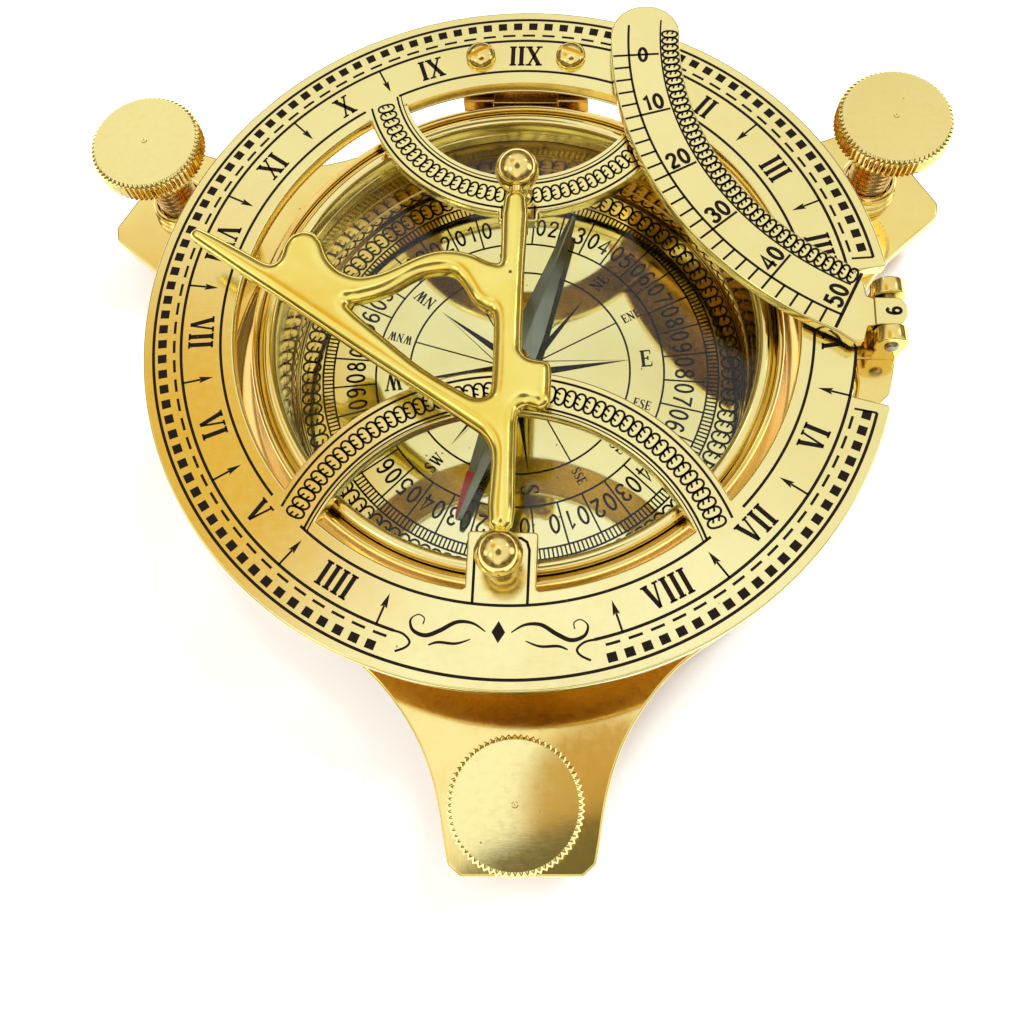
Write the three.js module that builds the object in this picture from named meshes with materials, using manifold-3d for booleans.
// Folding brass sundial compass.
// Millimetres, +Z up. The origin is the middle of the base plate's underside, on the dial's axis.
// +Y is the noon line, towards XII and the hour ring's hinge (north); +X is east.
import * as THREE from 'three';
import { mergeVertices } from 'three/addons/utils/BufferGeometryUtils.js';
import Module from 'manifold-3d';

// ---------------------------------------------------------------- driving dimensions
const BASE_T = 3.0;              // base plate thickness
const BASE_R = 49.3;             // round middle of the base plate
const ARM_TWIST = -2.5;          // degrees that the arms sit round from the noon line
const ARMS = { S: 180 + ARM_TWIST, NE: 60 + ARM_TWIST, NW: -60 + ARM_TWIST }; // clockwise from north
const FOOT_R = 64.0;             // levelling screws' distance from the axis

const BUSH_R = 4.3, BUSH_H = 3.4, BUSH_BORE = 3.6;
const STEM_R = 3.3;              // threaded stem
const STEM_BOTTOM = -4.0;        // underside of the stem
const FOOT_BOTTOM = -7.0;        // where the feet stand
const HEAD_R = 8.4, HEAD_T = 3.6, HEAD_TOP = 21.2, KNURLS = 40, KNURL_D = 0.45;

const BOWL_FLOOR = 2.0;          // floor thickness above the base plate
const BORE_R = 34.0;             // inside of the bowl
const LEDGE_Z = 15.0, LEDGE_R = 35.7;
const MOUTH_R = 37.1, MOUTH_Z = 20.3;
const FLARE_R = 45.5;            // foot of the bowl
const DIAL_R = 33.7, DIAL_T = 1.0;
const DIAL_Z = BASE_T + BOWL_FLOOR;
const GLASS_R = 35.4, GLASS_T = 1.2;
const RET_IN = 33.6, RET_TOP = 20.5;

const RING_TOP = 23.5, RING_T = 2.0, RING_R = 51.0, RING_OPEN = 38.5;
const ARCH_N = { y: 40.0, rOut: 23.8, rIn: 18.3 };
const ARCH_S = { y: -40.5, rOut: 32.4, rIn: 26.4 };
const TONGUE_HW = 4.5, TONGUE_TOP = -30.6;
const PAD_HW = 2.8, PAD_TIP = 14.8;
const NOTCH = { r: 45.9, a0: 80.6, a1: 103.8 };   // degrees clockwise from north
const HSCREW = { x: 6.65, y: 42.7, head: 2.2, shank: 1.3 };

const HINGE_Y = 45.5, HINGE_Z = 17.9, HINGE_HW = 9.4, HINGE_PIN = 1.0, HINGE_KN = 1.9;

const GN_AXIS = RING_TOP + 5.8;  // gnomon's pivot height
const POST_N = 18.9, POST_S = -35.1, BALL_R = 3.0, GN_T = 3.0;
const PIVOT_R = 0.9;

const ARC_C = { x: 64.2, y: 44.0 }, ARC_OUT = 51.7, ARC_IN = 41.8, ARC_T = 1.8;
const ARC_AXIS = { x: 49.6, z: RING_TOP + 1.6 };
const EAR_R = 2.2, LUG_R = 2.1, ARC_PIN = 0.9;

// ---------------------------------------------------------------- solids
const wasm = await Module();
wasm.setup();

const solid = (g) => {
  g = g.clone();
  g.deleteAttribute('normal'); g.deleteAttribute('uv');
  if (!g.index) g = mergeVertices(g, 1e-4); else g = mergeVertices(g.toNonIndexed(), 1e-4);
  const p = g.attributes.position.array, i = g.index.array;
  const tri = [];
  for (let k = 0; k < i.length; k += 3) {
    if (i[k] !== i[k + 1] && i[k + 1] !== i[k + 2] && i[k] !== i[k + 2]) tri.push(i[k], i[k + 1], i[k + 2]);
  }
  return new wasm.Manifold(new wasm.Mesh({ numProp: 3, vertProperties: new Float32Array(p), triVerts: new Uint32Array(tri) }));
};
const geometry = (m) => {
  const s = m.getMesh();
  const g = new THREE.BufferGeometry();
  g.setAttribute('position', new THREE.BufferAttribute(new Float32Array(s.vertProperties), 3));
  g.setIndex(new THREE.BufferAttribute(new Uint32Array(s.triVerts), 1));
  g.computeVertexNormals();
  return g;
};
const join = (...m) => m.reduce((a, b) => a.add(b));
const cut = (a, ...m) => m.reduce((x, y) => x.subtract(y), a);

// lathe about Z: profile of [radius, z] pairs, closed on itself or starting and ending on the axis
const turned = (profile, seg = 48, x = 0, y = 0) => {
  const g = new THREE.LatheGeometry(profile.map(([r, z]) => new THREE.Vector2(r, z)), seg);
  g.rotateX(Math.PI / 2);
  g.translate(x, y, 0);
  return solid(g);
};
const rod = (r, z0, z1, seg = 32, x = 0, y = 0) => turned([[0, z0], [r, z0], [r, z1], [0, z1]], seg, x, y);
const tubeZ = (r0, r1, z0, z1, seg = 48, x = 0, y = 0) => turned([[r0, z0], [r1, z0], [r1, z1], [r0, z1], [r0, z0]], seg, x, y);
const box = (x0, x1, y0, y1, z0, z1) => {
  const g = new THREE.BoxGeometry(x1 - x0, y1 - y0, z1 - z0);
  g.translate((x0 + x1) / 2, (y0 + y1) / 2, (z0 + z1) / 2);
  return solid(g);
};
const plate = (points, z0, z1, holes = []) => {
  const s = new THREE.Shape(points.map(([x, y]) => new THREE.Vector2(x, y)));
  for (const h of holes) s.holes.push(new THREE.Path(h.map(([x, y]) => new THREE.Vector2(x, y))));
  const g = new THREE.ExtrudeGeometry(s, { depth: z1 - z0, bevelEnabled: false, steps: 1 });
  g.translate(0, 0, z0);
  return solid(g);
};
const rodX = (r, x0, x1, y, z, seg = 24) => {
  const g = new THREE.CylinderGeometry(r, r, x1 - x0, seg); g.rotateZ(Math.PI / 2);
  g.translate((x0 + x1) / 2, y, z); return solid(g);
};
const rodY = (r, y0, y1, x, z, seg = 24) => {
  const g = new THREE.CylinderGeometry(r, r, y1 - y0, seg); g.translate(x, (y0 + y1) / 2, z); return solid(g);
};
const polar = (r, clockwiseFromNorth) => {
  const a = THREE.MathUtils.degToRad(clockwiseFromNorth); return [r * Math.sin(a), r * Math.cos(a)];
};

// ---------------------------------------------------------------- materials
const brass = (color, roughness) => new THREE.MeshStandardMaterial({ color, roughness, metalness: 1 });
const POLISHED = brass(0xe0c470, 0.18);
const SATIN = brass(0xdcc27a, 0.32);
const CAST = brass(0xe2c060, 0.22);
const DARK = brass(0xb08a3c, 0.35);
const STEEL = new THREE.MeshStandardMaterial({ color: 0x8d949c, roughness: 0.25, metalness: 1 });
const GLASS = new THREE.MeshStandardMaterial({ color: 0xffffff, roughness: 0.03, metalness: 0, transparent: true, opacity: 0.15 });

const sundial = new THREE.Group();
sundial.name = 'sundial_compass';
const node = (name, m, material) => {
  const mesh = new THREE.Mesh(geometry(m), material);
  mesh.name = name;
  sundial.add(mesh);
};

// ---------------------------------------------------------------- base plate
{
  // half outline of one arm: [distance from axis, half width]
  const half = [[42.3, 25.3], [44.3, 22.6], [46.6, 20.2], [49.2, 18.0], [52.3, 15.8], [56.0, 13.8], [60.0, 12.3], [64.0, 11.3], [68.0, 10.6], [71.0, 10.0], [72.6, 8.2]];
  const out = [];
  for (const name of ['NE', 'NW', 'S']) {                  // counter-clockwise round the plate
    const a = THREE.MathUtils.degToRad(90 - ARMS[name]);
    const u = [Math.cos(a), Math.sin(a)], v = [-Math.sin(a), Math.cos(a)];
    for (const [d, w] of half) out.push([u[0] * d - v[0] * w, u[1] * d - v[1] * w]);
    for (const [d, w] of [...half].reverse()) out.push([u[0] * d + v[0] * w, u[1] * d + v[1] * w]);
    const a0 = a + Math.atan2(25.3, 42.3), a1 = a + THREE.MathUtils.degToRad(120) - Math.atan2(25.3, 42.3);
    for (let k = 1; k < 12; k++) { const t = a0 + (a1 - a0) * k / 12; out.push([BASE_R * Math.cos(t), BASE_R * Math.sin(t)]); }
  }
  let m = plate(out, 0, BASE_T);
  for (const name of ['S', 'NE', 'NW']) { const [x, y] = polar(FOOT_R, ARMS[name]); m = cut(m, rod(BUSH_BORE, -1, BASE_T + 1, 24, x, y)); }
  for (const a of [0, 120, 240]) {
    const [x, y] = polar(26, a);
    m = cut(m, rod(1.7, -1, BASE_T + 1, 16, x, y), rod(3.3, -1, 1.4, 16, x, y));
  }
  node('base_plate', m, POLISHED);

  for (const name of ['S', 'NE', 'NW']) {
    const [x, y] = polar(FOOT_R, ARMS[name]);
    const z = BASE_T;
    node(`levelling_bush_${name}`, turned([[BUSH_BORE, z], [BUSH_R + 0.5, z], [BUSH_R + 0.5, z + 0.9], [BUSH_R, z + 0.9],
      [BUSH_R, z + BUSH_H], [BUSH_BORE, z + BUSH_H], [BUSH_BORE, z]], 24, x, y), DARK);

    // knurled head and stem
    const knurl = [];
    for (let k = 0; k < KNURLS * 2; k++) {
      const a = Math.PI * k / KNURLS, r = HEAD_R - (k % 2 ? KNURL_D : 0);
      knurl.push([x + r * Math.cos(a), y + r * Math.sin(a)]);
    }
    const head = plate(knurl, HEAD_TOP - HEAD_T, HEAD_TOP);
    node(`thumbscrew_${name}`, join(head, rod(STEM_R, STEM_BOTTOM, HEAD_TOP - HEAD_T + 0.3, 24, x, y)), POLISHED);

    // rounded rest under the stem
    node(`levelling_foot_${name}`, turned([[0, FOOT_BOTTOM], [1.6, FOOT_BOTTOM], [2.6, FOOT_BOTTOM + 0.6], [3.1, FOOT_BOTTOM + 1.6],
      [3.1, STEM_BOTTOM - 0.3], [0, STEM_BOTTOM - 0.3]], 18, x, y), DARK);
  }
}

// ---------------------------------------------------------------- compass bowl and what is in it
{
  const z0 = BASE_T;
  let bowl = turned([
    [0, z0], [FLARE_R, z0], [FLARE_R, z0 + 1.2], [FLARE_R - 1.2, z0 + 1.8], [41.6, z0 + 3.6], [39.0, z0 + 6.8], [MOUTH_R, z0 + 12.4],
    [MOUTH_R, MOUTH_Z], [36.3, MOUTH_Z], [LEDGE_R, MOUTH_Z - 0.7], [LEDGE_R, LEDGE_Z], [BORE_R, LEDGE_Z],
    [BORE_R, z0 + BOWL_FLOOR], [0, z0 + BOWL_FLOOR]], 64);
  for (const a of [0, 120, 240]) { const [x, y] = polar(26, a); bowl = cut(bowl, rod(1.55, z0 - 1, z0 + 1.7, 16, x, y)); }
  node('compass_bowl', bowl, POLISHED);

  let k = 1;
  for (const a of [0, 120, 240]) {
    const [x, y] = polar(26, a);
    const screw = turned([[0, 0.15], [3.0, 0.15], [3.0, 1.3], [1.4, 1.3], [1.4, 4.5], [0, 4.5]], 16, x, y);
    node(`base_screw_${k++}`, cut(screw, box(x - 4, x + 4, y - 0.35, y + 0.35, -1, 0.7)), DARK);
  }

  node('compass_dial', cut(rod(DIAL_R, DIAL_Z + 0.05, DIAL_Z + DIAL_T, 60), rod(1.25, 0, 10, 12)), SATIN);
  node('needle_pivot', turned([[0, DIAL_Z + 0.05], [1.1, DIAL_Z + 0.05], [1.1, DIAL_Z + DIAL_T + 0.8], [0.55, DIAL_Z + DIAL_T + 1.4], [0.45, 8.6], [0, 9.2]], 16), STEEL);

  // needle: lozenge with a centre ridge, turned to magnetic north
  const ax = THREE.MathUtils.degToRad(-17);
  const L = 26.0, W = 2.5, zn = 8.8, t = 0.35;
  const pos = [], idx = [];
  const add = (p) => { pos.push(...p); return pos.length / 3 - 1; };
  const N = add([0, L, t]), S = add([0, -L, t]), E = add([W, 0, t]), Wd = add([-W, 0, t]), R = add([0, 0, 1.0]);
  const N2 = add([0, L, 0]), S2 = add([0, -L, 0]), E2 = add([W, 0, 0]), W2 = add([-W, 0, 0]);
  idx.push(N, R, E, R, S, E, N, Wd, R, Wd, S, R);
  idx.push(N, E, E2, N, E2, N2, E, S, S2, E, S2, E2, S, Wd, W2, S, W2, S2, Wd, N, N2, Wd, N2, W2);
  idx.push(N2, E2, W2, E2, S2, W2);
  const g = new THREE.BufferGeometry();
  g.setAttribute('position', new THREE.BufferAttribute(new Float32Array(pos), 3));
  g.setIndex(idx);
  g.rotateZ(ax);
  g.translate(0, 0, zn);
  node('compass_needle', cut(solid(g), rod(1.75, 0, 20, 24)), STEEL);
  node('needle_cap', cut(turned([[0, 8.3], [1.7, 8.3], [1.7, 9.2], [1.7, 10.6], [1.3, 11.2], [0.5, 11.5], [0, 11.5]], 20),
    turned([[0, 8.0], [1.0, 8.0], [0.75, 9.4], [0, 9.9]], 16)), POLISHED);

  node('cover_glass', rod(GLASS_R, LEDGE_Z + 0.05, LEDGE_Z + GLASS_T, 64), GLASS);
  node('glass_retaining_ring', turned([[RET_IN, LEDGE_Z + GLASS_T + 0.1], [LEDGE_R - 0.2, LEDGE_Z + GLASS_T + 0.1], [LEDGE_R - 0.2, RET_TOP - 0.4], [LEDGE_R - 0.6, RET_TOP],
    [RET_IN, RET_TOP], [RET_IN, LEDGE_Z + GLASS_T + 0.1]], 60), SATIN);
}

// ---------------------------------------------------------------- hour ring's hinge
{
  const bowlSpace = rod(MOUTH_R + 0.12, -1, MOUTH_Z + 5, 64);
  const flareSpace = turned([[0, 2], [FLARE_R + 0.3, 2], [FLARE_R + 0.3, 4.4], [41.8, 6.8], [39.3, 9.9], [37.3, 15.6], [37.3, 17], [0, 17]], 64);
  const sideways = (pts, x0, x1) => {          // outline in the YZ plane, extruded along X
    const s = new THREE.Shape(pts.map(([y, z]) => new THREE.Vector2(y, z)));
    const g = new THREE.ExtrudeGeometry(s, { depth: x1 - x0, bevelEnabled: false });
    g.applyMatrix4(new THREE.Matrix4().makeBasis(new THREE.Vector3(0, 1, 0), new THREE.Vector3(0, 0, 1), new THREE.Vector3(1, 0, 0)));
    g.translate(x0, 0, 0);
    return solid(g);
  };
  const fork = sideways([[33, 13.2], [40.5, 13.2], [HINGE_Y - 0.6, HINGE_Z - HINGE_KN], [HINGE_Y, HINGE_Z], [HINGE_Y - 0.3, HINGE_Z + 1.6], [33, 19.5]], -HINGE_HW, HINGE_HW);
  let lower = join(fork, rodX(HINGE_KN, -HINGE_HW, HINGE_HW, HINGE_Y, HINGE_Z, 20));
  lower = cut(lower, box(-4.6, 4.6, 41.6, 50, 5, 30), bowlSpace, flareSpace, rodX(HINGE_PIN + 0.02, -20, 20, HINGE_Y, HINGE_Z, 20));
  node('ring_hinge_leaf_lower', lower, DARK);

  const under = RING_TOP - RING_T - 0.05;
  let upper = join(box(-HINGE_HW, HINGE_HW, 39.4, 48.2, under - 1.2, under),
    rodX(HINGE_KN, -4.3, 4.3, HINGE_Y, HINGE_Z, 20), box(-4.3, 4.3, HINGE_Y - 1.5, HINGE_Y + 1.5, HINGE_Z, under - 0.6));
  upper = cut(upper, rodX(HINGE_PIN + 0.05, -20, 20, HINGE_Y, HINGE_Z, 20));
  for (const x of [-HSCREW.x, HSCREW.x]) upper = cut(upper, rod(HSCREW.shank + 0.05, 10, 30, 20, x, HSCREW.y));
  node('ring_hinge_leaf_upper', upper, DARK);
  node('ring_hinge_pin', rodX(HINGE_PIN, -HINGE_HW - 0.5, HINGE_HW + 0.5, HINGE_Y, HINGE_Z, 20), STEEL);

  for (const [name, x, turn] of [['W', -HSCREW.x, 0.5], ['E', HSCREW.x, -0.35]]) {
    const z = RING_TOP + 0.05;
    const g = new THREE.BoxGeometry(8, 0.6, 2); g.rotateZ(turn); g.translate(x, HSCREW.y, z + 1.75);
    const m = cut(turned([[0, 20.0], [HSCREW.shank, 20.0], [HSCREW.shank, z], [HSCREW.head, z], [HSCREW.head, z + 0.7], [1.75, z + 1.25], [0.9, z + 1.5], [0, z + 1.55]], 24, x, HSCREW.y), solid(g));
    node(`hinge_screw_${name}`, m, POLISHED);
  }
}

// ---------------------------------------------------------------- hour ring
{
  const z0 = RING_TOP - RING_T, z1 = RING_TOP;
  const edge = (rIn, rOut, seg, x, y) => tubeZ(rIn, rOut, z0, z1, seg, x, y);
  const disc = rod(RING_OPEN + 0.6, z0 - 1, z1 + 1, 96);
  let m = turned([[RING_OPEN, z0], [RING_R, z0], [RING_R, z1 - 0.35], [RING_R - 0.35, z1], [RING_OPEN, z1], [RING_OPEN, z0]], 96);
  m = join(m, edge(ARCH_N.rIn, ARCH_N.rOut, 64, 0, ARCH_N.y).intersect(disc), edge(ARCH_S.rIn, ARCH_S.rOut, 80, 0, ARCH_S.y).intersect(disc),
    box(-TONGUE_HW, TONGUE_HW, -39.2, TONGUE_TOP, z0, z1), box(-PAD_HW, PAD_HW, PAD_TIP, 20, z0, z1));
  const rad = THREE.MathUtils.degToRad;
  const sector = [];
  for (let k = 0; k <= 8; k++) sector.push(polar(NOTCH.r, NOTCH.a0 + (NOTCH.a1 - NOTCH.a0) * k / 8));
  sector.push(polar(60, NOTCH.a1), polar(60, NOTCH.a0));
  m = cut(m, plate(sector.reverse(), z0 - 1, z1 + 1));
  for (const x of [-HSCREW.x, HSCREW.x]) m = cut(m, rod(HSCREW.shank + 0.05, z0 - 1, z1 + 1, 20, x, HSCREW.y));
  for (const y of [POST_N, POST_S]) m = cut(m, rod(1.25, z0 - 1, z1 + 1, 20, 0, y));
  node('hour_ring', m, SATIN);
}

// ---------------------------------------------------------------- gnomon and its posts
{
  for (const [name, y, s] of [['N', POST_N, -1], ['S', POST_S, 1]]) {
    const z = RING_TOP + 0.05, c = GN_AXIS;
    const prof = [[0, RING_TOP - RING_T], [1.2, RING_TOP - RING_T], [1.2, z], [1.95, z], [1.95, z + 0.8], [1.5, z + 1.3], [1.45, c - 2.62]];
    for (let k = 0; k <= 8; k++) { const a = -1.06 + (Math.PI / 2 + 1.06) * k / 8; prof.push([BALL_R * Math.cos(a), c + BALL_R * Math.sin(a)]); }
    prof[prof.length - 1][0] = 0;
    const post = turned(prof, 20, 0, y);
    const deep = rodY(PIVOT_R + 0.06, Math.min(y - s * 0.8, y + s * 4), Math.max(y - s * 0.8, y + s * 4), 0, c, 12);
    node(`gnomon_post_${name}`, cut(post, deep), POLISHED);
  }
  const outer = [
    [1.5, 14.4], [1.6, 4], [1.65, -6.9], [2.0, -8.6], [3.0, -9.4], [4.8, -9.7], [5.4, -10.2], [5.6, -11.2], [5.6, -14.9], [5.2, -15.9], [4.2, -16.4], [1.65, -16.5],
    [1.55, -24], [1.5, -31.7], [-1.4, -31.7], [-1.4, -23.6], [-1.8, -21.4], [-2.7, -20.0], [-4.3, -18.8],
    [-10.6, -14.6], [-20.6, -8.0], [-30.6, -1.2], [-36.2, 2.5], [-42.0, 6.5], [-43.3, 7.4], [-43.8, 8.2], [-43.3, 8.9], [-42.2, 8.9],
    [-36.6, 6.0], [-33.0, 4.0], [-31.7, 3.9], [-31.1, 4.9], [-30.8, 6.6], [-29.9, 8.1], [-28.3, 8.8], [-26.7, 8.4], [-25.6, 7.1], [-24.8, 5.2], [-23.6, 3.6], [-22.0, 2.5], [-20.0, 2.0],
    [-17.7, 2.5], [-15.2, 3.7], [-12.7, 5.1], [-10.2, 6.0], [-7.7, 6.1], [-5.2, 5.5], [-3.4, 4.6], [-2.2, 4.3], [-1.6, 5.0], [-1.5, 14.4]].reverse();
  const hole = [[-21.2, -2.4], [-19.8, -1.7], [-17.2, -0.9], [-15.2, 0.1], [-12.6, 1.9], [-10.7, 2.6], [-8.8, 2.8], [-7.2, 2.2], [-6.0, 0.6], [-4.8, -1.4], [-3.4, -2.5], [-2.2, -3.3],
    [-1.95, -8], [-1.95, -13.6], [-2.5, -14.7], [-3.7, -15.0], [-5.2, -14.4], [-10.6, -11.2], [-15.6, -7.2]];
  let m = plate(outer, GN_AXIS - GN_T / 2, GN_AXIS + GN_T / 2, [hole]);
  m = join(m, rodY(PIVOT_R, 14.0, POST_N + 0.5, 0, GN_AXIS, 12), rodY(PIVOT_R, POST_S - 0.5, -31.0, 0, GN_AXIS, 12));
  node('gnomon', m, CAST);
}

// ---------------------------------------------------------------- latitude arc and its bracket
{
  const { x: ax, z: az } = ARC_AXIS;
  const deg = THREE.MathUtils.degToRad;
  // angle measured at the arc's centre from -X towards -Y
  const at = (r, a) => [ARC_C.x - r * Math.cos(deg(a)), ARC_C.y - r * Math.sin(deg(a))];
  const out = [];
  const A0 = -1.0, A1 = 65.5, mid = (ARC_OUT + ARC_IN) / 2, hw = (ARC_OUT - ARC_IN) / 2;
  for (let k = 0; k <= 30; k++) out.push(at(ARC_OUT, A0 + (A1 - A0) * k / 30));
  out.push([44.6, -4.4], [46.0, -4.2], [46.5, -2.1], [47.6, -2.0], [ax, -2.0], [ax, 2.0], [47.6, 2.0], [46.6, 2.4], [46.4, 4.4]);
  for (let k = 30; k >= 0; k--) out.push(at(ARC_IN, A0 + (62.0 - A0) * k / 30));
  const c = at(mid, A0);                                  // rounded far end
  for (let k = 1; k < 14; k++) {
    const t = Math.PI * k / 14, a = deg(A0);
    const px = Math.cos(t), py = Math.sin(t);
    out.push([c[0] + hw * (px * Math.cos(a) - py * Math.sin(a)), c[1] + hw * (px * Math.sin(a) + py * Math.cos(a))]);
  }
  let m = plate(out, az - ARC_T / 2, az + ARC_T / 2);
  m = join(m, rodY(LUG_R, -2.0, 2.0, ax, az, 24));
  m = cut(m, rodY(ARC_PIN + 0.05, -10, 10, ax, az, 20));
  node('latitude_arc', m, SATIN);

  // clevis: two ears on a foot that is carried under the ring
  const ear = (y0, y1) => join(rodY(EAR_R, y0, y1, ax, az, 24), box(ax - 1.7, ax + 1.7, y0, y1, 16.4, az));
  let b = join(ear(2.3, 4.6), ear(-4.6, -2.3), box(ax - 1.7, ax + 1.7, -4.6, 4.6, 16.4, 19.2), box(40.6, ax - 1, -4.6, 4.6, 19.4, 21.4),
    box(ax - 3.2, ax + 1.7, -4.6, 4.6, 18.0, 20.4));
  const leg = plate([[47.9, -4.4], [51.3, -4.4], [50.2, -9.6], [47.2, -12.6], [45.4, -12.6], [46.2, -8.0]].reverse(), 18.4, 21.3);
  b = join(b, leg);
  b = cut(b, rodY(ARC_PIN + 0.02, -10, 10, ax, az, 20));
  node('arc_bracket', b, DARK);
  node('arc_hinge_pin', rodY(ARC_PIN, -5.0, 5.0, ax, az, 20), STEEL);
}

export default sundial;
